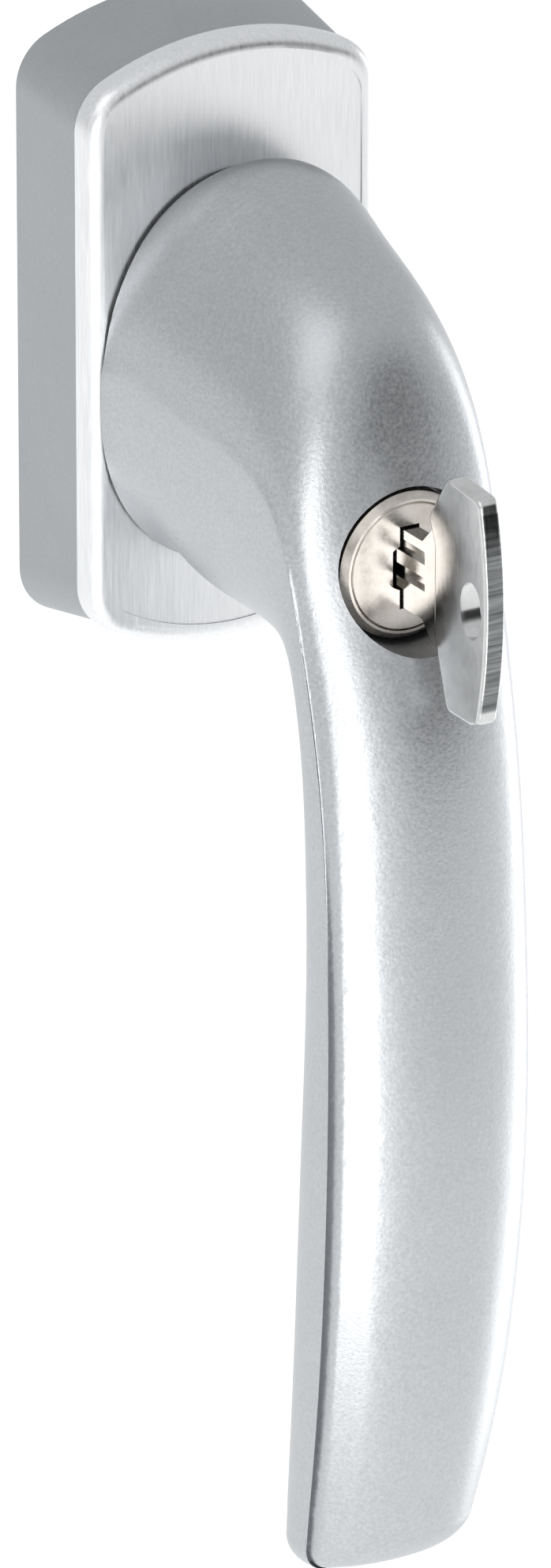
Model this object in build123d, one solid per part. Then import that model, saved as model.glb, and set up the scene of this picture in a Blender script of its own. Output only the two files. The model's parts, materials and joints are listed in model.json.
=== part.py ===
from build123d import *
import math
import os

# Window handle that locks with a key.  Millimetres.  +Z up, +X right, sash face at Y = 0.
# "Depth" is the distance from the sash face towards the room, so a depth d lies at Y = -d.
# The origin is where the spindle's axis crosses the sash face.

# rose: casing, carrier and front cover
cover_width = 35.9
cover_height = 68.7
cover_front = 14.8
cover_skirt = 3.1
cover_wall = 1.1
cover_roll = 1.8
cover_rim = 2.1
cover_recess = 0.15
cover_recess_corner = 4.0
cover_hole_gap = 0.5
arch_rise = 5.0
corner_radius = 6.0
casing_front_width = 35.3
casing_front_height = 68.1
casing_draft_side = 0.7
casing_draft_top = 2.0
casing_wall = 1.8
casing_front_wall = 1.3
casing_window_width = 24.0
casing_window_height = 54.0
casing_window_corner = 11.0
carrier_front = 12.1
carrier_gap = 0.15
shell_gap = 0.1

# mounting
screw_spacing = 43.0
screw_radius = 2.5
screw_shank_radius = 2.2
screw_hole_radius = 2.65
screw_seat_gap = 0.15
screw_drive_width = 0.9
screw_length = 30.0
screw_head_radius = 4.5
screw_head_top = 8.7
screw_drive_radius = 1.6
screw_drive_depth = 1.7
lug_radius = 5.0
lug_length = 3.0
thread_gap = 0.5

# spindle and its bearing
spindle_side = 7.0
spindle_edge = 0.6
spindle_out = 24.0
spindle_in = 30.0
spindle_end_gap = 0.3
socket_gap = 0.06
hub_radius = 8.0
hub_back = 4.0
boss_radius = 10.4
running_gap = 0.05
bush_wall = 1.35
bush_back = 6.45
flange_radius = 10.6
flange_thickness = 1.25
neck_gap = 0.3
clip_thickness = 0.9
clip_depth = 0.7
clip_place = 0.6
clip_outer_radius = 9.2
clip_opening = 5.0
washer_thickness = 0.8
pin_radius = 1.25
pin_depth = 8.6
pin_bevel = 0.25
rear_plate_radius = 12.0
rear_plate_thickness = 0.6
rear_plate_hole = 5.4

# detent
disc_radius = 9.0
disc_back = 1.2
disc_thickness = 2.4
ball_radius = 1.5
ball_gap = 0.1
ball_travel = 0.9
spring_wire = 0.16
spring_coil_radius = 1.05
detent_spring_pitch = 0.62
carrier_side_wall = 0.5
notch_count = 4

# lock
lock_height = -13.9
lock_face = 50.6
ring_radius = 8.2
ring_thickness = 6.0
ring_bevel = 0.7
bore_gap = 0.55
housing_radius = 7.5
housing_back = 34.8
housing_gap = 0.05
housing_seat_gap = 0.1
plug_face_radius = 7.15
plug_face_thickness = 1.6
plug_face_bevel = 0.2
plug_radius = 5.6
plug_back = 33.4
plug_groove_depth = 0.6
plug_groove_place = 0.6
plug_clip_thickness = 0.7
plug_clip_radius = 7.0
plug_recess_radius = 2.6
plug_recess_depth = 1.4
plug_recess_shift = 0.4
tongue_width = 2.0
tongue_length = 1.5
tongue_inset = 0.4
barrel_back = 25.2
barrel_radius = 4.2
barrel_gap = 0.1
screw_drive_side = 2.8
twist_pitch = 20.0
bolt_radius = 2.0
bolt_flat = 1.5
bolt_gap = 0.08
bolt_bevel = 0.4
bolt_guide_length = 4.4
bolt_tip_gap = 0.3
bolt_tail_end = 32.9
key_turn = 90.0
strike_width = 24.0
strike_height = 33.2
strike_thickness = 1.6
strike_corner = 3.0
strike_hole_gap = 0.15
set_screw_radius = 1.5
set_screw_depth = 38.0
set_screw_length = 5.2
set_screw_socket = 0.75
set_screw_socket_depth = 2.0
set_screw_bite = 0.8

# key
key_thickness = 1.9
key_height = 8.8
key_length = 14.6
key_gap = 0.25
key_tip_gap = 0.6
key_tip_bevel = 2.2
bow_height = 26.5
bow_inner = 57.3
bow_outer = 67.9
bow_shift = 0.15
bow_thickness = 2.4
bow_edge = 0.5
bow_corner = 1.2
bow_bulge = 1.6
bow_slant = 2.6
bow_beak = 1.2
bow_beak_drop = 5.5
bow_high_corner = 8.5
bow_low_corner = 8.0
bow_end_drop = 0.6
bow_hole_width = 4.2
bow_hole_height = 6.4
bow_hole_place = 64.8
shoulder_height = 13.0
shoulder_start = 54.7
groove_width = 1.5
groove_depth = 0.55
groove_heights = (2.6, -0.4)
groove_end = 55.2
wafer_count = 5
wafer_thickness = 0.9
wafer_gap = 0.08
wafer_width = 5.0
wafer_first = 46.4
wafer_pitch = 2.3
wafer_window_gap = 0.2
wafer_ear_width = 0.75
wafer_ear_height = 1.2
wafer_pocket_drop = 3.8
wafer_pocket_rise = 1.4
wafer_spring_radius = 0.3
wafer_spring_wire = 0.09
wafer_spring_turns = 5
first_cut = 0.6
cut_step = 0.35
cut_gap = 0.5

# lever: stations along the grip, each a pair of points on its room side and its sash side, as
# (room depth, room height, sash depth, sash height, width, room fullness, sash fullness, widest place)
neck_base = cover_front + neck_gap
lever_stations = [
    (neck_base, 19.6, neck_base, -24.6, 33.8, 2.10, 2.10, 0.45),
    (26.9, 20.7, 23.3, -25.7, 31.8, 2.10, 2.15, 0.45),
    (35.9, 17.3, 31.1, -26.1, 29.5, 2.05, 2.30, 0.47),
    (44.7, 10.9, 40.5, -27.4, 27.2, 1.85, 2.50, 0.50),
    (50.6, -7.1, 46.2, -36.4, 25.6, 1.65, 2.70, 0.54),
    (56.7, -28.2, 46.0, -49.8, 25.1, 1.50, 2.90, 0.58),
    (59.5, -51.7, 45.4, -64.3, 25.4, 1.45, 2.90, 0.60),
    (60.4, -74.1, 44.3, -79.8, 25.8, 1.45, 2.90, 0.60),
    (59.3, -93.4, 43.0, -94.9, 25.4, 1.45, 2.90, 0.60),
    (57.0, -108.7, 41.4, -108.6, 24.4, 1.45, 2.80, 0.60),
    (54.7, -119.0, 39.8, -119.1, 23.1, 1.50, 2.70, 0.58),
    (52.5, -126.3, 38.4, -127.6, 21.7, 1.60, 2.60, 0.56),
]
crown_fullness = 2.1
section_points = 16
lever_end_radius = 4.5
lever_end_steps = 5
lever_end_angle = 84.0

# sizes that follow from those above
clearance = 0.05
beyond = 90.0
carrier_width = casing_front_width - 2 * casing_wall - 2 * carrier_gap
carrier_height = casing_front_height - 2 * casing_wall - 2 * carrier_gap
cover_back = cover_front - cover_skirt
cover_inner_face = cover_front - cover_wall
lip_width = cover_width - 2 * cover_wall - 2 * shell_gap
lip_height = cover_height - 2 * cover_wall - 2 * shell_gap
casing_front = cover_inner_face - shell_gap
casing_shoulder = cover_back - shell_gap
socket_side = spindle_side + 2 * socket_gap
bush_inner = hub_radius + running_gap
bush_outer = bush_inner + bush_wall
cavity_radius = bush_outer + clearance
flange_front = carrier_front + clearance + flange_thickness
boss_back = flange_front + clearance
clip_back = hub_back + clip_place
disc_front = disc_back + disc_thickness
ball_depth = disc_back + disc_thickness / 2
ball_place = disc_radius + ball_gap + ball_radius
notch_radius = ball_radius + ball_gap
notch_place = ball_place - ball_travel
pocket_end = carrier_width / 2 - carrier_side_wall
screw_head_depth = screw_head_radius - screw_radius
screw_head_base = screw_head_top - screw_head_depth
bolt_throw = twist_pitch * key_turn / 360
bolt_tip = neck_base + bolt_tip_gap
bolt_neck = barrel_back - bolt_tip_gap
strike_hole_radius = bolt_radius + strike_hole_gap
bolt_guide_end = neck_base + bolt_guide_length
bolt_hole_radius = bolt_radius + bolt_gap
housing_bore = plug_radius + housing_gap
barrel_front = plug_back
plug_clip_back = plug_back + plug_groove_place
key_tip = lock_face - key_length
key_slot_end = key_tip - key_tip_gap
set_screw_top = lock_height - housing_radius + set_screw_bite


# ---- helpers ----

def rod(radius, depth_from, depth_to, x=0.0, z=0.0):
    # round bar along Y between two depths
    middle = (depth_from + depth_to) / 2
    return Pos(x, -middle, z) * Rot(90, 0, 0) * Cylinder(radius, depth_to - depth_from)


def block(width, height, depth_from, depth_to, x=0.0, z=0.0):
    middle = (depth_from + depth_to) / 2
    return Pos(x, -middle, z) * Box(width, depth_to - depth_from, height)


def cross_bar(radius, x_from, x_to, depth, z=0.0):
    # round bar along X
    return Pos((x_from + x_to) / 2, -depth, z) * Rot(0, 90, 0) * Cylinder(radius, x_to - x_from)


def room_plane(depth, z=0.0):
    # local x is +X, local y is +Z, and the plane faces the room
    return Plane(origin=(0, -depth, z), x_dir=(1, 0, 0), z_dir=(0, -1, 0))


def rose_face(width, height, depth, corner=corner_radius):
    # tall plate with arched ends and rounded corners
    half_width = width / 2
    half_height = height / 2
    shoulder = half_height - arch_rise
    outline = [
        Line((-half_width, -shoulder), (-half_width, shoulder)),
        ThreePointArc((-half_width, shoulder), (0, half_height), (half_width, shoulder)),
        Line((half_width, shoulder), (half_width, -shoulder)),
        ThreePointArc((half_width, -shoulder), (0, -half_height), (-half_width, -shoulder)),
    ]
    face = make_face(Curve() + outline)
    face = fillet(face.vertices(), corner)
    return room_plane(depth) * face


def rose_block(width, height, depth_from, depth_to, corner=corner_radius):
    # the plane faces the room, so the extrusion runs towards greater depth
    return extrude(rose_face(width, height, depth_from, corner), amount=depth_to - depth_from)


def coil(radius, wire, pitch, turns):
    # round-wire spring standing on +Z, with its ends left plain
    path = Helix(pitch=pitch, height=pitch * turns, radius=radius)
    section = Plane(origin=path @ 0, z_dir=path % 0) * Circle(wire)
    return sweep(section, path=path, is_frenet=True)


def twisted_bar(side, depth_from, depth_to):
    # square bar along the lock's axis, turned at a steady pitch from the same zero depth
    length = depth_to - depth_from
    start_angle = -360 * (depth_from - bolt_neck) / twist_pitch
    turn = -360 * length / twist_pitch
    section = Rot(0, 0, start_angle) * Rectangle(side, side)
    bar = Solid.extrude_linear_with_rotation(section.face(), (0, 0, 0), (0, 0, length), turn)
    return room_plane(depth_from, lock_height).location * bar


def save(name, shape):
    solids = shape.solids()
    part = solids[0] if len(solids) == 1 else Compound(children=list(solids))
    part.label = name
    export_step(part, f"parts/{name}.step")
    print(name, len(solids), round(sum(s.volume for s in solids), 2))


# ---- rose ----

def base_casing():
    back = rose_face(
        casing_front_width + 2 * casing_draft_side, casing_front_height + 2 * casing_draft_top, 0
    )
    front = rose_face(casing_front_width, casing_front_height, casing_shoulder)
    shell = loft([back, front]).solid()
    shell = shell + rose_block(lip_width, lip_height, casing_shoulder - clearance, casing_front)
    inner_width = casing_front_width - 2 * casing_wall
    inner_height = casing_front_height - 2 * casing_wall
    inner_end = casing_front - casing_front_wall
    shell = shell - rose_block(inner_width, inner_height, -1, inner_end)
    window = block(casing_window_width, casing_window_height, 0, cover_front + 1)
    window = fillet(window.edges().filter_by(Axis.Y), casing_window_corner)
    return shell - window


def carrier_plate():
    body = rose_block(carrier_width, carrier_height, 0, carrier_front)
    body = body - rod(cavity_radius, -1, carrier_front + 1)
    body = body - rod(rear_plate_radius + clearance, -1, rear_plate_thickness)
    body = body - strike_shape(clearance, carrier_front - strike_thickness - clearance, carrier_front + 1)
    for side in (-1, 1):
        height = side * screw_spacing / 2
        body = body + rod(lug_radius, -lug_length, 0, z=height)
        body = body - rod(screw_hole_radius, -lug_length - 1, carrier_front + 1, z=height)
        body = body - rod(screw_head_radius + screw_seat_gap, screw_head_top, carrier_front + 1, z=height)
        body = body - screw_cone(screw_seat_gap, height)
        body = body - cross_bar(
            notch_radius, min(0, side * pocket_end), max(0, side * pocket_end), ball_depth
        )
        hole_end = bolt_tip - bolt_throw - 1
        body = body - rod(strike_hole_radius, hole_end, carrier_front + 1, z=side * lock_height)
    return body


def screw_cone(gap, height):
    # countersunk seat or head, widest towards the room
    radius_top = screw_head_radius + gap
    radius_base = screw_radius + gap
    cone = Cone(radius_base, radius_top, screw_head_depth)
    middle = (screw_head_top + screw_head_base) / 2
    return Pos(0, -middle, height) * Rot(90, 0, 0) * cone


def front_cover():
    body = rose_block(cover_width, cover_height, cover_back, cover_front)
    rim_edges = body.faces().sort_by(Axis.Y)[0].edges()
    body = fillet(rim_edges, cover_roll)
    inner_width = cover_width - 2 * cover_wall
    inner_height = cover_height - 2 * cover_wall
    body = body - rose_block(inner_width, inner_height, cover_back - 1, cover_inner_face)
    face_width = cover_width - 2 * cover_rim
    face_height = cover_height - 2 * cover_rim
    body = body - rose_block(
        face_width, face_height, cover_front - cover_recess, cover_front + 1, cover_recess_corner
    )
    body = body - rod(boss_radius + cover_hole_gap, 0, cover_front + 1)
    for side in (-1, 1):
        body = body - rod(strike_hole_radius, 0, cover_front + 1, z=side * lock_height)
    return body


def strike_shape(gap, depth_from, depth_to):
    plate = block(strike_width + 2 * gap, strike_height + 2 * gap, depth_from, depth_to)
    return fillet(plate.edges().filter_by(Axis.Y), strike_corner + gap)


def strike_plate():
    plate = strike_shape(0, carrier_front - strike_thickness, carrier_front)
    plate = plate - rod(cavity_radius, 0, cover_front)
    for side in (-1, 1):
        plate = plate - rod(strike_hole_radius, 0, cover_front, z=side * lock_height)
    return plate


def rear_plate():
    return rod(rear_plate_radius, 0, rear_plate_thickness - clearance) - rod(
        rear_plate_hole, -1, cover_front
    )


def guide_bush():
    bush = rod(bush_outer, bush_back, carrier_front + clearance)
    bush = bush + rod(flange_radius, carrier_front + clearance, flange_front)
    return bush - rod(bush_inner, 0, cover_front)


def mounting_screws():
    screws = []
    for side in (-1, 1):
        height = side * screw_spacing / 2
        thread_start = -lug_length - thread_gap
        thread = rod(screw_radius, screw_head_top - screw_length, thread_start, z=height)
        shank = rod(screw_shank_radius, thread_start, screw_head_base + clearance, z=height)
        screw = thread + shank + screw_cone(0, height)
        for turn in (0, 90):
            wing = Rot(0, turn, 0) * Box(2 * screw_drive_radius, 2 * screw_drive_depth, screw_drive_width)
            screw = screw - Pos(0, -screw_head_top, height) * wing
        screws.append(screw)
    return Compound(children=screws)


def detent_ball(side):
    return Pos(side * ball_place, -ball_depth, 0) * Sphere(ball_radius)


def detent_spring(side):
    start = ball_place + ball_radius + clearance + spring_wire
    length = pocket_end - clearance - spring_wire - start
    turns = length / detent_spring_pitch
    spring = coil(spring_coil_radius, spring_wire, detent_spring_pitch, turns)
    return Pos(side * start, -ball_depth, 0) * Rot(0, side * 90, 0) * spring


# ---- lever, spindle and what turns with them ----

def half_outline(width, rise, crown, fullness):
    # points from the right-hand widest place over the top to the left-hand one
    points = []
    for i in range(section_points + 1):
        angle = math.pi * i / section_points
        cosine = math.cos(angle)
        x = math.copysign(abs(cosine) ** (2 / crown), cosine) * width / 2
        y = abs(math.sin(angle)) ** (2 / fullness) * rise
        points.append((x, y if 0 < i < section_points else 0))
    return points


def lever_section(station):
    room_depth, room_height, sash_depth, sash_height, width, room_fullness, sash_fullness, widest = station
    room = Vector(0, -room_depth, room_height)
    sash = Vector(0, -sash_depth, sash_height)
    across = room - sash
    centre = sash + across * widest
    plane = Plane(origin=centre, x_dir=(1, 0, 0), z_dir=Vector(1, 0, 0).cross(across))
    room_half = half_outline(width, across.length * (1 - widest), crown_fullness, room_fullness)
    sash_half = half_outline(width, across.length * widest, sash_fullness, sash_fullness)
    sash_half = [(-x, -y) for x, y in sash_half]
    halves = [
        Spline(room_half, tangents=[(0, 1), (0, -1)]),
        Spline(sash_half, tangents=[(0, -1), (0, 1)]),
    ]
    return plane * Face(Wire(halves))


def lever_end():
    # the grip's end rounds over on a quarter circle, leaning the way the grip leans
    room_depth, room_height, sash_depth, sash_height, width, *shape = lever_stations[-1]
    before = lever_stations[-2]
    lean = (before[0] + before[2] - room_depth - sash_depth) / (
        before[1] + before[3] - room_height - sash_height
    )
    stations = [lever_stations[-1]]
    for i in range(1, lever_end_steps + 1):
        angle = math.radians(lever_end_angle * i / lever_end_steps)
        inset = lever_end_radius * (1 - math.cos(angle))
        drop = lever_end_radius * math.sin(angle)
        back = lean * drop
        stations.append((
            room_depth - inset - back, room_height - drop, sash_depth + inset - back, sash_height - drop,
            width - 2 * inset, *shape
        ))
    return loft([lever_section(station) for station in stations]).solid()


def lever():
    body = loft([lever_section(station) for station in lever_stations]).solid()
    body = body + lever_end()
    body = body + rod(boss_radius, boss_back, neck_base + 2)
    body = body + rod(hub_radius, hub_back, neck_base + 2)
    groove = rod(hub_radius + 1, clip_back - clearance, clip_back + clip_thickness + clearance)
    groove = groove - rod(hub_radius - clip_depth, 0, cover_front)
    body = body - groove
    body = body - block(socket_side, socket_side, 0, spindle_in + spindle_end_gap)
    body = body - cross_bar(pin_radius + clearance, -hub_radius - 1, hub_radius + 1, pin_depth)
    body = body - rod(housing_radius + housing_seat_gap, plug_back - clearance, beyond, z=lock_height)
    body = body - rod(
        ring_radius + bore_gap, lock_face - ring_thickness - clearance, beyond, z=lock_height
    )
    body = body - rod(barrel_radius + barrel_gap, barrel_back - clearance, housing_back, z=lock_height)
    body = body - bolt_shape(bolt_gap, 0, bolt_guide_end)
    body = body - rod(bolt_hole_radius, bolt_guide_end - clearance, barrel_back, z=lock_height)
    return body - set_screw_bore()


def set_screw_bore():
    # runs down from the screw's top and out through the underside of the neck
    length = 3 * set_screw_length
    return Pos(0, -set_screw_depth, set_screw_top - length / 2) * Cylinder(
        set_screw_radius + clearance, length
    )


def bolt_shape(gap, depth_from, depth_to):
    # round bar with a flat that keeps it from turning
    bar = rod(bolt_radius + gap, depth_from, depth_to, z=lock_height)
    flat_middle = lock_height + bolt_flat + gap + bolt_radius
    cutter = block(4 * bolt_radius, 2 * bolt_radius, depth_from - 1, depth_to + 1, z=flat_middle)
    return bar - cutter


def spindle():
    bar = block(spindle_side, spindle_side, -spindle_out, spindle_in)
    bar = chamfer(bar.edges().filter_by(Axis.Y), spindle_edge)
    return bar - cross_bar(pin_radius + clearance, -spindle_side, spindle_side, pin_depth)


def spindle_pin():
    length = hub_radius - 3 * clearance
    return chamfer(
        cross_bar(pin_radius, -length, length, pin_depth).edges().filter_by(GeomType.CIRCLE), pin_bevel
    )


def c_clip(inner, outer, depth_from, thickness, z=0.0):
    ring = rod(outer, depth_from, depth_from + thickness, z=z) - rod(inner, 0, beyond, z=z)
    gap = block(clip_opening, 2 * outer, 0, beyond, z=z - outer)
    return ring - gap


def retaining_clip():
    return c_clip(hub_radius - clip_depth + clearance, clip_outer_radius, clip_back, clip_thickness)


def thrust_washer():
    front = bush_back - clearance
    return rod(clip_outer_radius, front - washer_thickness, front) - rod(
        bush_inner + clearance, 0, beyond
    )


def detent_disc():
    disc = rod(disc_radius, disc_back, disc_front)
    disc = disc - block(socket_side, socket_side, 0, cover_front)
    for i in range(notch_count):
        angle = 2 * math.pi * i / notch_count
        x = notch_place * math.cos(angle)
        z = notch_place * math.sin(angle)
        disc = disc - rod(notch_radius, 0, cover_front, x, z)
    return disc


# ---- lock ----

def lock_housing():
    body = rod(housing_radius, housing_back, lock_face, z=lock_height)
    ring = rod(ring_radius, lock_face - ring_thickness, lock_face, z=lock_height)
    ring = chamfer(ring.faces().sort_by(Axis.Y)[0].edges(), ring_bevel)
    body = body + ring
    body = body - rod(housing_bore, 0, beyond, z=lock_height)
    body = body - rod(
        plug_face_radius + housing_gap, lock_face - plug_face_thickness - clearance, beyond, z=lock_height
    )
    return body - set_screw_bore()


def wafer_place(i):
    return wafer_first - i * wafer_pitch


def wafer_outline(gap, depth_from, depth_to):
    # flat wafer with round ends that follow the plug, and an ear for its spring
    plate = block(wafer_width + 2 * gap, 2 * plug_radius, depth_from, depth_to, z=lock_height)
    ear_x = wafer_width / 2 + wafer_ear_width / 2
    return plate + block(
        wafer_ear_width + 2 * gap, wafer_ear_height, depth_from, depth_to, ear_x, lock_height
    )


def lock_plug():
    body = rod(plug_radius, plug_back, lock_face - plug_face_thickness, z=lock_height)
    face = rod(plug_face_radius, lock_face - plug_face_thickness, lock_face, z=lock_height)
    body = body + chamfer(face.faces().sort_by(Axis.Y)[0].edges(), plug_face_bevel)
    body = body - block(
        key_thickness + 2 * key_gap, key_height + 2 * key_gap, key_slot_end, beyond, z=lock_height
    )
    body = body - rod(
        plug_recess_radius, lock_face - plug_recess_depth, beyond, x=-plug_recess_shift, z=lock_height
    )
    for i in range(wafer_count):
        slot_from = wafer_place(i) - wafer_gap
        slot_to = wafer_place(i) + wafer_thickness + wafer_gap
        slot = block(
            wafer_width + 2 * wafer_gap, 3 * plug_radius, slot_from, slot_to, z=lock_height
        )
        ear_x = wafer_width / 2 + wafer_ear_width / 2
        pocket_height = wafer_pocket_drop + wafer_pocket_rise
        pocket = block(
            wafer_ear_width + 2 * wafer_gap, pocket_height, slot_from, slot_to,
            ear_x, lock_height + wafer_pocket_rise - pocket_height / 2
        )
        body = body - slot - pocket
    groove_end = plug_clip_back + plug_clip_thickness + clearance
    groove = rod(plug_radius + 1, plug_clip_back - clearance, groove_end, z=lock_height)
    body = body - (groove - rod(plug_radius - plug_groove_depth, 0, beyond, z=lock_height))
    slot_end = plug_back + tongue_length + clearance
    return body - block(4 * plug_radius, tongue_width + 2 * clearance, 0, slot_end, z=lock_height)


def wafers():
    pieces = []
    for i in range(wafer_count):
        depth = wafer_place(i)
        plate = wafer_outline(0, depth, depth + wafer_thickness)
        plate = plate & rod(plug_radius - clearance, depth - 1, depth + 2, z=lock_height)
        cut = first_cut + i * cut_step
        top = key_height / 2 + wafer_window_gap
        bottom = cut - key_height / 2 - clearance
        window = block(
            key_thickness + 2 * key_gap, top - bottom, depth - 1, depth + 2,
            z=lock_height + (top + bottom) / 2
        )
        pieces.append(plate - window)
    return Compound(children=pieces)


def wafer_springs():
    springs = []
    ear_x = wafer_width / 2 + wafer_ear_width / 2
    bottom = lock_height - wafer_pocket_drop + wafer_spring_wire + clearance
    top = lock_height - wafer_ear_height / 2 - 2 * wafer_spring_wire - clearance
    one = coil(
        wafer_spring_radius, wafer_spring_wire, (top - bottom) / wafer_spring_turns, wafer_spring_turns
    )
    for i in range(wafer_count):
        springs.append(Pos(ear_x, -wafer_place(i) - wafer_thickness / 2, bottom) * one)
    return Compound(children=springs)


def plug_clip():
    inner = plug_radius - plug_groove_depth + clearance
    return c_clip(inner, plug_clip_radius, plug_clip_back, plug_clip_thickness, lock_height)


def cam_barrel():
    body = rod(barrel_radius, barrel_back, barrel_front - clearance, z=lock_height)
    tongue_half = barrel_radius - tongue_inset
    tongue = block(
        2 * tongue_half, tongue_width, barrel_front - 1, plug_back + tongue_length, z=lock_height
    )
    body = body + tongue
    hole = twisted_bar(screw_drive_side + 2 * barrel_gap, barrel_back - 1, bolt_tail_end + bolt_tip_gap)
    return body - hole


def locking_bolt():
    bar = bolt_shape(0, bolt_tip, bolt_neck)
    bar = chamfer(bar.faces().sort_by(Axis.Y)[-1].edges(), bolt_bevel)
    return bar + twisted_bar(screw_drive_side, bolt_neck - clearance, bolt_tail_end)


def set_screw():
    middle = set_screw_top - set_screw_length / 2
    screw = Pos(0, -set_screw_depth, middle) * Cylinder(set_screw_radius, set_screw_length)
    screw = chamfer(screw.edges().filter_by(GeomType.CIRCLE), pin_bevel)
    socket = extrude(RegularPolygon(set_screw_socket, 6), amount=set_screw_socket_depth)
    return screw - Pos(0, -set_screw_depth, set_screw_top - set_screw_length) * socket


# ---- key ----

def key():
    shank = block(key_thickness, key_height, key_tip, bow_inner + 1, z=lock_height)
    tip_edges = shank.faces().sort_by(Axis.Y)[-1].edges().filter_by(Axis.X)
    shank = chamfer(tip_edges, key_tip_bevel)
    shoulder = block(key_thickness, shoulder_height, shoulder_start, bow_inner + 1, z=lock_height)
    shoulder_edges = shoulder.faces().sort_by(Axis.Y)[-1].edges().filter_by(Axis.X)
    shoulder = chamfer(shoulder_edges, (shoulder_height - key_height) / 2)
    for i in range(wafer_count):
        cut = first_cut + i * cut_step
        start = wafer_place(i) + wafer_thickness + cut_gap
        notch = block(2 * key_thickness, 2 * cut, key_tip - 1, start, z=lock_height - key_height / 2)
        shank = shank - notch
    body = shank + shoulder + bow()
    for rise in groove_heights:
        for side in (-1, 1):
            groove = block(
                2 * groove_depth, groove_width, key_tip - 1, groove_end,
                side * key_thickness / 2, lock_height - side * rise
            )
            body = body - groove
    return body


def bow():
    # flat grip drawn in depth and height about the lock's axis, with a chamfered lower inside corner
    half = bow_height / 2
    inner_corner = bow_inner + bow_slant
    outer_corner = bow_outer - bow_bulge
    outer_end = outer_corner - bow_bulge
    inside = [
        (bow_inner, bow_low_corner - half),
        (bow_inner, half - bow_high_corner),
        (bow_inner - bow_beak, half - bow_beak_drop),
        (inner_corner, half),
    ]
    outline = [
        Polyline(inside),
        Line((inner_corner, half), (outer_corner, half - bow_end_drop)),
        ThreePointArc(
            (outer_corner, half - bow_end_drop), (bow_outer, 0), (outer_corner, bow_end_drop - half)
        ),
        Line((outer_corner, bow_end_drop - half), (outer_end, -half)),
        Line((outer_end, -half), (inner_corner, -half)),
        Line((inner_corner, -half), (bow_inner, bow_low_corner - half)),
    ]
    side_plane = Plane(origin=(0, 0, lock_height + bow_shift), x_dir=(0, -1, 0), z_dir=(-1, 0, 0))
    face = make_face(Curve() + outline)
    face = fillet(face.vertices(), bow_corner)
    plate = extrude(side_plane * face, amount=bow_thickness / 2, both=True)
    flats = plate.faces().filter_by(GeomType.PLANE).filter_by(Axis.X)
    plate = fillet(flats.edges(), bow_edge)
    hole_place = (bow_hole_place, -bow_shift)
    hole_face = Pos(*hole_place) * Ellipse(bow_hole_width / 2, bow_hole_height / 2)
    return plate - extrude(side_plane * hole_face, amount=2 * bow_thickness, both=True)


os.makedirs("parts", exist_ok=True)
save("base_casing", base_casing())
save("carrier_plate", carrier_plate())
save("front_cover", front_cover())
save("strike_plate", strike_plate())
save("rear_plate", rear_plate())
save("guide_bush", guide_bush())
save("mounting_screws", mounting_screws())
save("detent_ball_left", detent_ball(-1))
save("detent_ball_right", detent_ball(1))
save("detent_spring_left", detent_spring(-1))
save("detent_spring_right", detent_spring(1))
save("lever", lever())
save("spindle", spindle())
save("spindle_pin", spindle_pin())
save("retaining_clip", retaining_clip())
save("thrust_washer", thrust_washer())
save("detent_disc", detent_disc())
save("lock_housing", lock_housing())
save("lock_plug", lock_plug())
save("wafers", wafers())
save("wafer_springs", wafer_springs())
save("plug_clip", plug_clip())
save("cam_barrel", cam_barrel())
save("locking_bolt", locking_bolt())
save("set_screw", set_screw())
save("key", key())
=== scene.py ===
import json
import math
import bmesh
import bpy
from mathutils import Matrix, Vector


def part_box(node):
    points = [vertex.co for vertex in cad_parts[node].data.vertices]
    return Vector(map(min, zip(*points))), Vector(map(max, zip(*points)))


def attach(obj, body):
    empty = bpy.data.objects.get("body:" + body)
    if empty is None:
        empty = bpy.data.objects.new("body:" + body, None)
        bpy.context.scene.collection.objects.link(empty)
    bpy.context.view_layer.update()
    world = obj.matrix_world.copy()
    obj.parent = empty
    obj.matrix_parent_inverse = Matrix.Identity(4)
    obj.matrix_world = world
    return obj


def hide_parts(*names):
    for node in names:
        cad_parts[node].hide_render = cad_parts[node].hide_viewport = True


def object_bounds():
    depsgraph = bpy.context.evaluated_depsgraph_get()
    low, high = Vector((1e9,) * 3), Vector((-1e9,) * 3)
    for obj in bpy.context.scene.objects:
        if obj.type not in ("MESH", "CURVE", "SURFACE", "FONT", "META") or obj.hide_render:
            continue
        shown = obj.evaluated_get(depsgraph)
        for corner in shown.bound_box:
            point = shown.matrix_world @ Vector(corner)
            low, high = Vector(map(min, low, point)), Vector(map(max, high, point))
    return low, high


# Lockable tilt and turn handle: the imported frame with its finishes, and threaded screws in place
# of the frame's plain ones. Metres, in the frame's own axes.

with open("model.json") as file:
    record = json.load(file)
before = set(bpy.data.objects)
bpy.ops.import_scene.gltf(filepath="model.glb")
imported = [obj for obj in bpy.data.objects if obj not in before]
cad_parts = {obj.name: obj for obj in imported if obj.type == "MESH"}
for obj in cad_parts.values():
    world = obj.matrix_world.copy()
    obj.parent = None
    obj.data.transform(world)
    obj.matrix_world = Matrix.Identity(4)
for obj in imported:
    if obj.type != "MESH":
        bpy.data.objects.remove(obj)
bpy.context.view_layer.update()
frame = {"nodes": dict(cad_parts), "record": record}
print("frame loaded:", len(frame["nodes"]), "nodes")


def newMaterial(name):
    material = bpy.data.materials.new(name)
    material.use_nodes = True
    nodes = material.node_tree.nodes
    nodes.clear()
    output = nodes.new("ShaderNodeOutputMaterial")
    shader = nodes.new("ShaderNodeBsdfPrincipled")
    material.node_tree.links.new(shader.outputs["BSDF"], output.inputs["Surface"])
    return material, nodes, material.node_tree.links, shader


mixing = {"rampLow": 0.3, "rampHigh": 0.7, "cloudDetail": 4.0}


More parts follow.
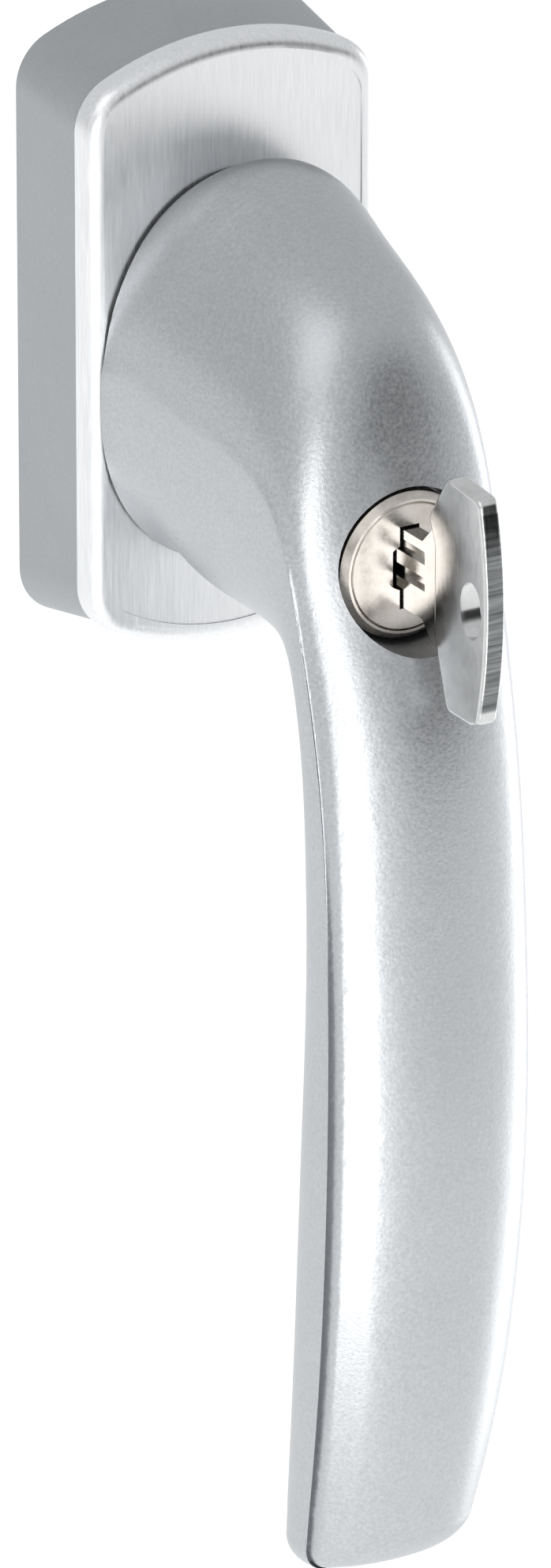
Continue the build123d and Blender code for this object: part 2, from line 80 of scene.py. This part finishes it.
def objectNoise(nodes, links, stretch, scale, detail=3.0, roughness=0.55):
    # noise in the piece's own metres, stretched per axis
    place = nodes.new("ShaderNodeTexCoord")
    mapping = nodes.new("ShaderNodeMapping")
    mapping.inputs["Scale"].default_value = stretch
    noise = nodes.new("ShaderNodeTexNoise")
    noise.inputs["Scale"].default_value = scale
    noise.inputs["Detail"].default_value = detail
    noise.inputs["Roughness"].default_value = roughness
    links.new(place.outputs["Object"], mapping.inputs["Vector"])
    links.new(mapping.outputs["Vector"], noise.inputs["Vector"])
    return noise.outputs["Fac"]


def spread(nodes, links, factor, low, high, fromLow=mixing["rampLow"], fromHigh=mixing["rampHigh"]):
    # carries a noise value into a range
    remap = nodes.new("ShaderNodeMapRange")
    remap.inputs["From Min"].default_value = fromLow
    remap.inputs["From Max"].default_value = fromHigh
    remap.inputs["To Min"].default_value = low
    remap.inputs["To Max"].default_value = high
    links.new(factor, remap.inputs["Value"])
    return remap.outputs["Result"]


def blendColour(nodes, links, factor, darker, lighter):
    ramp = nodes.new("ShaderNodeValToRGB")
    ramp.color_ramp.elements[0].position = mixing["rampLow"]
    ramp.color_ramp.elements[0].color = (*darker, 1)
    ramp.color_ramp.elements[1].position = mixing["rampHigh"]
    ramp.color_ramp.elements[1].color = (*lighter, 1)
    links.new(factor, ramp.inputs["Fac"])
    return ramp.outputs["Color"]


def addBump(nodes, links, shader, height, distance, strength):
    bump = nodes.new("ShaderNodeBump")
    bump.inputs["Strength"].default_value = strength
    bump.inputs["Distance"].default_value = distance
    links.new(height, bump.inputs["Height"])
    links.new(bump.outputs["Normal"], shader.inputs["Normal"])


def finish(name, look):
    material, nodes, links, shader = newMaterial(name)
    broad = objectNoise(nodes, links, (1, 1, 1), look["cloudScale"], mixing["cloudDetail"])
    grain = objectNoise(nodes, links, look["grainStretch"], look["grainScale"], look["grainDetail"])
    mix = nodes.new("ShaderNodeMath")
    mix.operation = "MULTIPLY_ADD"
    mix.inputs[1].default_value = look["cloudShare"]
    links.new(broad, mix.inputs[0])
    fine = nodes.new("ShaderNodeMath")
    fine.operation = "MULTIPLY"
    fine.inputs[1].default_value = 1 - look["cloudShare"]
    links.new(grain, fine.inputs[0])
    links.new(fine.outputs[0], mix.inputs[2])
    colour = blendColour(nodes, links, mix.outputs[0], look["darker"], look["lighter"])
    links.new(colour, shader.inputs["Base Color"])
    shader.inputs["Metallic"].default_value = look["metallic"]
    rough = spread(nodes, links, mix.outputs[0], look["roughLow"], look["roughHigh"])
    links.new(rough, shader.inputs["Roughness"])
    addBump(nodes, links, shader, grain, look["bumpDistance"], look["bumpStrength"])
    return material


looks = {
    "anodised_silver": {
        "darker": (0.455, 0.47, 0.485), "lighter": (0.57, 0.58, 0.59), "metallic": 1.0,
        "roughLow": 0.33, "roughHigh": 0.42, "cloudScale": 60, "cloudShare": 0.2,
        "grainStretch": (1, 1, 1), "grainScale": 2600, "grainDetail": 2.0,
        "bumpDistance": 0.00004, "bumpStrength": 0.6,
    },
    "brushed_silver": {
        "darker": (0.74, 0.75, 0.76), "lighter": (0.92, 0.925, 0.93), "metallic": 1.0,
        "roughLow": 0.30, "roughHigh": 0.42, "cloudScale": 80, "cloudShare": 0.25,
        "grainStretch": (1, 1, 0.06), "grainScale": 4200, "grainDetail": 3.0,
        "bumpDistance": 0.00003, "bumpStrength": 0.4,
    },
    "casing_grey": {
        "darker": (0.36, 0.375, 0.385), "lighter": (0.43, 0.445, 0.455), "metallic": 0.55,
        "roughLow": 0.48, "roughHigh": 0.58, "cloudScale": 70, "cloudShare": 0.5,
        "grainStretch": (1, 1, 1), "grainScale": 2200, "grainDetail": 2.0,
        "bumpDistance": 0.00003, "bumpStrength": 0.3,
    },
    "carrier_metal": {
        "darker": (0.40, 0.41, 0.42), "lighter": (0.58, 0.59, 0.60), "metallic": 0.9,
        "roughLow": 0.45, "roughHigh": 0.62, "cloudScale": 240, "cloudShare": 0.6,
        "grainStretch": (1, 1, 1), "grainScale": 1600, "grainDetail": 4.0,
        "bumpDistance": 0.00008, "bumpStrength": 0.5,
    },
    "steel": {
        "darker": (0.52, 0.54, 0.57), "lighter": (0.72, 0.74, 0.76), "metallic": 1.0,
        "roughLow": 0.24, "roughHigh": 0.40, "cloudScale": 300, "cloudShare": 0.6,
        "grainStretch": (1, 1, 1), "grainScale": 2400, "grainDetail": 3.0,
        "bumpDistance": 0.00002, "bumpStrength": 0.3,
    },
    "spring_steel": {
        "darker": (0.20, 0.205, 0.215), "lighter": (0.34, 0.345, 0.355), "metallic": 1.0,
        "roughLow": 0.28, "roughHigh": 0.42, "cloudScale": 500, "cloudShare": 0.6,
        "grainStretch": (1, 1, 1), "grainScale": 2600, "grainDetail": 3.0,
        "bumpDistance": 0.00002, "bumpStrength": 0.3,
    },
    "nickel": {
        "darker": (0.40, 0.365, 0.33), "lighter": (0.66, 0.62, 0.575), "metallic": 1.0,
        "roughLow": 0.20, "roughHigh": 0.34, "cloudScale": 420, "cloudShare": 0.85,
        "grainStretch": (1, 1, 1), "grainScale": 3000, "grainDetail": 3.0,
        "bumpDistance": 0.00002, "bumpStrength": 0.25,
    },
    "bush_plastic": {
        "darker": (0.74, 0.74, 0.71), "lighter": (0.84, 0.84, 0.81), "metallic": 0.0,
        "roughLow": 0.40, "roughHigh": 0.52, "cloudScale": 200, "cloudShare": 0.6,
        "grainStretch": (1, 1, 1), "grainScale": 1800, "grainDetail": 2.0,
        "bumpDistance": 0.00002, "bumpStrength": 0.3,
    },
    "wafer_brass": {
        "darker": (0.56, 0.42, 0.20), "lighter": (0.74, 0.60, 0.33), "metallic": 1.0,
        "roughLow": 0.26, "roughHigh": 0.40, "cloudScale": 600, "cloudShare": 0.6,
        "grainStretch": (1, 0.1, 1), "grainScale": 3000, "grainDetail": 2.0,
        "bumpDistance": 0.00002, "bumpStrength": 0.3,
    },
    "key_metal": {
        "darker": (0.55, 0.55, 0.545), "lighter": (0.74, 0.74, 0.735), "metallic": 1.0,
        "roughLow": 0.12, "roughHigh": 0.22, "cloudScale": 300, "cloudShare": 0.7,
        "grainStretch": (1, 1, 0.15), "grainScale": 2600, "grainDetail": 3.0,
        "bumpDistance": 0.00002, "bumpStrength": 0.3,
    },
}

finishes = {name: finish(name, look) for name, look in looks.items()}


keyEdge = {
    "startDepth": 0.0660, "halfWidth": 0.00085, "topHeight": -0.0028, "lowHeight": -0.0248,
    "soft": 0.0003, "hatchStretch": (0.05, 1, 1), "hatchScale": 2600, "hatchDetail": 2.0,
    "darker": (0.10, 0.105, 0.105), "lighter": (0.30, 0.31, 0.31),
}


def addKeyEdge(material):
    # the bow's outer edge is left rough from the stamping, with fine marks across it
    nodes = material.node_tree.nodes
    links = material.node_tree.links
    shader = nodes["Principled BSDF"]
    plainColour = shader.inputs["Base Color"].links[0].from_socket
    place = nodes.new("ShaderNodeTexCoord")
    split = nodes.new("ShaderNodeSeparateXYZ")
    links.new(place.outputs["Object"], split.inputs[0])
    across = nodes.new("ShaderNodeMath")
    across.operation = "ABSOLUTE"
    links.new(split.outputs["X"], across.inputs[0])
    soft = keyEdge["soft"]
    limits = [
        (split.outputs["Y"], -keyEdge["startDepth"], -keyEdge["startDepth"] - soft),
        (across.outputs[0], keyEdge["halfWidth"] + soft, keyEdge["halfWidth"]),
        (split.outputs["Z"], keyEdge["topHeight"] + soft, keyEdge["topHeight"]),
        (split.outputs["Z"], keyEdge["lowHeight"] - soft, keyEdge["lowHeight"]),
    ]
    mask = None
    for value, outside, inside in limits:
        part = spread(nodes, links, value, 0.0, 1.0, outside, inside)
        if mask is not None:
            product = nodes.new("ShaderNodeMath")
            product.operation = "MULTIPLY"
            links.new(mask, product.inputs[0])
            links.new(part, product.inputs[1])
            part = product.outputs[0]
        mask = part
    hatch = objectNoise(nodes, links, keyEdge["hatchStretch"], keyEdge["hatchScale"], keyEdge["hatchDetail"])
    edgeColour = blendColour(nodes, links, hatch, keyEdge["darker"], keyEdge["lighter"])
    mix = nodes.new("ShaderNodeMixRGB")
    links.new(mask, mix.inputs["Fac"])
    links.new(plainColour, mix.inputs["Color1"])
    links.new(edgeColour, mix.inputs["Color2"])
    links.new(mix.outputs["Color"], shader.inputs["Base Color"])


addKeyEdge(finishes["key_metal"])
print("finishes made:", len(finishes))

slotOfNode = {part["node"]: part["material_slot"] for part in frame["record"]["subparts"]}
slotOfNode["key"] = "key_metal"
for name, node in frame["nodes"].items():
    node.data.materials.clear()
    node.data.materials.append(finishes[slotOfNode[name]])
print("frame nodes finished")


# M5 countersunk screws: the cone runs down to the nominal radius, and the thread starts past the lug
screws = {
    "spacing": 0.043, "headRadius": 0.0045, "coneEnd": 0.0025, "headRim": 0.0001,
    "shankRadius": 0.0022, "rootRadius": 0.00208, "crestRadius": 0.00249, "pitch": 0.0008,
    "crestFlat": 0.0001, "footShare": 0.45, "ridgeSink": 0.0001, "runIn": 0.0002, "tipBevel": 0.0005,
    "driveRadius": 0.0016, "driveWidth": 0.0009, "driveDepth": 0.0017, "leastSlope": 0.001,
    "roundSteps": 48, "threadSteps": 30, "plainBeyondLug": 0.0005, "lugLength": 0.003,
    "weld": 0.000001, "sharpAngle": 0.5,
}


def closeTo(value, target):
    return abs(value - target) < screws["weld"]


def latheAround(mesh, points, steps):
    # points are (radius, place along the axis); the axis is the piece's own Y
    verts = [mesh.verts.new((radius, along, 0)) for radius, along in points]
    edges = [mesh.edges.new(pair) for pair in zip(verts, verts[1:])]
    bmesh.ops.spin(
        mesh, geom=verts + edges, cent=(0, 0, 0), axis=(0, 1, 0), dvec=(0, 0, 0),
        angle=2 * math.pi, steps=steps, use_merge=True, use_duplicate=False
    )
    bmesh.ops.remove_doubles(mesh, verts=mesh.verts, dist=screws["weld"])


def crossRadius(angle):
    # distance from the middle to the edge of a cross recess
    half = screws["driveWidth"] / 2
    reach = screws["driveRadius"]
    alongX = min(reach, half / max(abs(math.sin(angle)), screws["leastSlope"]))
    alongZ = min(reach, half / max(abs(math.cos(angle)), screws["leastSlope"]))
    return max(alongX, alongZ)


def makeScrew(side, headTop, tip):
    mesh = bmesh.new()
    headBase = headTop + screws["headRadius"] - screws["coneEnd"]
    threadStart = screws["lugLength"] + screws["plainBeyondLug"]
    driveFloor = headTop + screws["driveDepth"]
    latheAround(mesh, [
        (0, driveFloor), (screws["driveRadius"], driveFloor), (screws["driveRadius"], headTop),
        (screws["headRadius"], headTop), (screws["headRadius"], headTop + screws["headRim"]),
        (screws["shankRadius"], headBase), (screws["shankRadius"], threadStart),
        (screws["rootRadius"], threadStart + screws["runIn"]),
        (screws["rootRadius"], tip - screws["tipBevel"]),
        (screws["rootRadius"] - screws["tipBevel"], tip), (0, tip),
    ], screws["roundSteps"])
    for vert in mesh.verts:
        radius = math.hypot(vert.co.x, vert.co.z)
        if closeTo(radius, screws["driveRadius"]):
            share = crossRadius(math.atan2(vert.co.z, vert.co.x)) / radius
            vert.co.x *= share
            vert.co.z *= share
    # one ridge wound round the core, closed at both ends
    ridge = bmesh.new()
    pitch = screws["pitch"]
    low = screws["rootRadius"] - screws["ridgeSink"]
    foot = pitch * screws["footShare"]
    start = threadStart + pitch
    outline = [
        (low, start - foot), (screws["crestRadius"], start - screws["crestFlat"] / 2),
        (screws["crestRadius"], start + screws["crestFlat"] / 2), (low, start + foot),
    ]
    corners = [ridge.verts.new((radius, along, 0)) for radius, along in outline]
    section = ridge.faces.new(corners)
    turns = (tip - screws["tipBevel"] - start - pitch / 2) / pitch
    steps = int(turns * screws["threadSteps"])
    stepTurn = 2 * math.pi / screws["threadSteps"]
    bmesh.ops.spin(
        ridge, geom=[section], cent=(0, 0, 0), axis=(0, 1, 0),
        dvec=(0, pitch / screws["threadSteps"], 0), angle=stepTurn * steps, steps=steps,
        use_merge=False, use_duplicate=False
    )
    for part in (mesh, ridge):
        bmesh.ops.recalc_face_normals(part, faces=part.faces)
        bmesh.ops.translate(part, verts=part.verts, vec=(0, 0, side * screws["spacing"] / 2))
    return mesh, ridge


def makeScrews():
    low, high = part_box("mounting_screws")
    data = bpy.data.meshes.new("threadedScrews")
    whole = bmesh.new()
    for side in (-1, 1):
        for part in makeScrew(side, low.y, high.y):
            single = bpy.data.meshes.new("screwPart")
            part.to_mesh(single)
            part.free()
            whole.from_mesh(single)
            bpy.data.meshes.remove(single)
    for face in whole.faces:
        face.smooth = True
    for edge in whole.edges:
        if len(edge.link_faces) == 2 and edge.calc_face_angle() > screws["sharpAngle"]:
            edge.smooth = False
    whole.to_mesh(data)
    whole.free()
    piece = bpy.data.objects.new("threadedScrews", data)
    bpy.context.scene.collection.objects.link(piece)
    data.materials.append(finishes["steel"])
    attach(piece, "rose")
    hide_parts("mounting_screws")


makeScrews()
print("screws made")


stageSizes = {
    "floorDrop": 1.0, "floorHalf": 8.0, "floorGlow": 0.45, "floorRough": 0.9, "paperScale": 6,
    "paperDarker": (0.90, 0.90, 0.90), "paperLighter": (0.93, 0.93, 0.93),
}
studio = {
    "darkWall": (0.46, -0.88, 0.02), "darkEdge": 0.86, "darkCore": 0.985, "darkLevel": 0.04,
    "paleLevel": 0.72, "paperLevel": 0.96, "wallColour": (0.97, 0.985, 1.0, 1),
    "paperColour": (1.0, 1.0, 1.0, 1),
}


def makeFloor():
    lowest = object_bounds()[0].z
    mesh = bpy.data.meshes.new("studioFloor")
    floorMesh = bmesh.new()
    bmesh.ops.create_grid(floorMesh, x_segments=1, y_segments=1, size=stageSizes["floorHalf"])
    bmesh.ops.translate(floorMesh, verts=floorMesh.verts, vec=(0, 0, lowest - stageSizes["floorDrop"]))
    floorMesh.to_mesh(mesh)
    floorMesh.free()
    floor = bpy.data.objects.new("studioFloor", mesh)
    bpy.context.scene.collection.objects.link(floor)
    material, nodes, links, shader = newMaterial("floorPaper")
    paper = objectNoise(nodes, links, (1, 1, 1), stageSizes["paperScale"])
    colour = blendColour(nodes, links, paper, stageSizes["paperDarker"], stageSizes["paperLighter"])
    links.new(colour, shader.inputs["Base Color"])
    shader.inputs["Roughness"].default_value = stageSizes["floorRough"]
    shader.inputs["Emission Color"].default_value = (1, 1, 1, 1)
    shader.inputs["Emission Strength"].default_value = stageSizes["floorGlow"]
    mesh.materials.append(material)


def makeWorld():
    world = bpy.data.worlds.new("studio")
    world.use_nodes = True
    nodes = world.node_tree.nodes
    links = world.node_tree.links
    background = nodes["Background"]
    # a darker patch of studio wall in front and to the right, fading into pale walls
    place = nodes.new("ShaderNodeTexCoord")
    toward = nodes.new("ShaderNodeVectorMath")
    toward.operation = "DOT_PRODUCT"
    toward.inputs[1].default_value = Vector(studio["darkWall"]).normalized()
    links.new(place.outputs["Generated"], toward.inputs[0])
    wall = nodes.new("ShaderNodeMapRange")
    wall.interpolation_type = "SMOOTHSTEP"
    wall.inputs["From Min"].default_value = studio["darkEdge"]
    wall.inputs["From Max"].default_value = studio["darkCore"]
    wall.inputs["To Min"].default_value = studio["paleLevel"]
    wall.inputs["To Max"].default_value = studio["darkLevel"]
    links.new(toward.outputs["Value"], wall.inputs["Value"])
    links.new(wall.outputs["Result"], background.inputs["Strength"])
    background.inputs["Color"].default_value = studio["wallColour"]
    # what shows behind the piece is plain pale paper all round
    paper = nodes.new("ShaderNodeBackground")
    paper.inputs["Color"].default_value = studio["paperColour"]
    paper.inputs["Strength"].default_value = studio["paperLevel"]
    seen = nodes.new("ShaderNodeLightPath")
    choose = nodes.new("ShaderNodeMixShader")
    links.new(seen.outputs["Is Camera Ray"], choose.inputs["Fac"])
    links.new(background.outputs[0], choose.inputs[1])
    links.new(paper.outputs[0], choose.inputs[2])
    links.new(choose.outputs[0], nodes["World Output"].inputs["Surface"])
    bpy.context.scene.world = world


# each box: place, width, height and power; all face the middle of the handle
middle = (0, -0.03, -0.06)
softBoxes = {
    "leftBox": ((-0.56, -0.82, -0.28), 0.30, 0.9, 3.1),
    "rightBox": ((0.95, 0.10, -0.30), 0.32, 0.9, 2.0),
    "topBox": ((-0.6, -0.5, 0.8), 0.9, 0.8, 1.6),
}


def softBox(name, place, width, height, power):
    light = bpy.data.lights.new(name, "AREA")
    light.shape = "RECTANGLE"
    light.size = width
    light.size_y = height
    light.energy = power
    lamp = bpy.data.objects.new(name, light)
    lamp.location = place
    direction = Vector(middle) - Vector(place)
    lamp.rotation_euler = direction.to_track_quat("-Z", "Y").to_euler()
    bpy.context.scene.collection.objects.link(lamp)


viewpoint = {
    "azimuth": -31.0, "elevation": 22.5, "distance": 1.5, "aim": (-0.0011, -0.025, -0.0476),
    "lens": 319.6, "sensor": 36, "nearest": 0.01, "farthest": 50,
}


def makeCamera():
    data = bpy.data.cameras.new("viewCamera")
    data.lens = viewpoint["lens"]
    data.sensor_width = viewpoint["sensor"]
    data.clip_start = viewpoint["nearest"]
    data.clip_end = viewpoint["farthest"]
    turn = math.radians(viewpoint["azimuth"])
    lift = math.radians(viewpoint["elevation"])
    back = Vector((math.sin(turn) * math.cos(lift), -math.cos(turn) * math.cos(lift), math.sin(lift)))
    camera = bpy.data.objects.new("viewCamera", data)
    camera.location = Vector(viewpoint["aim"]) + back * viewpoint["distance"]
    camera.rotation_euler = (-back).to_track_quat("-Z", "Y").to_euler()
    bpy.context.scene.collection.objects.link(camera)
    bpy.context.scene.camera = camera


makeFloor()
makeWorld()
for boxName, box in softBoxes.items():
    softBox(boxName, *box)
makeCamera()
bpy.context.scene.view_settings.view_transform = "Standard"
print("stage, light and camera made")
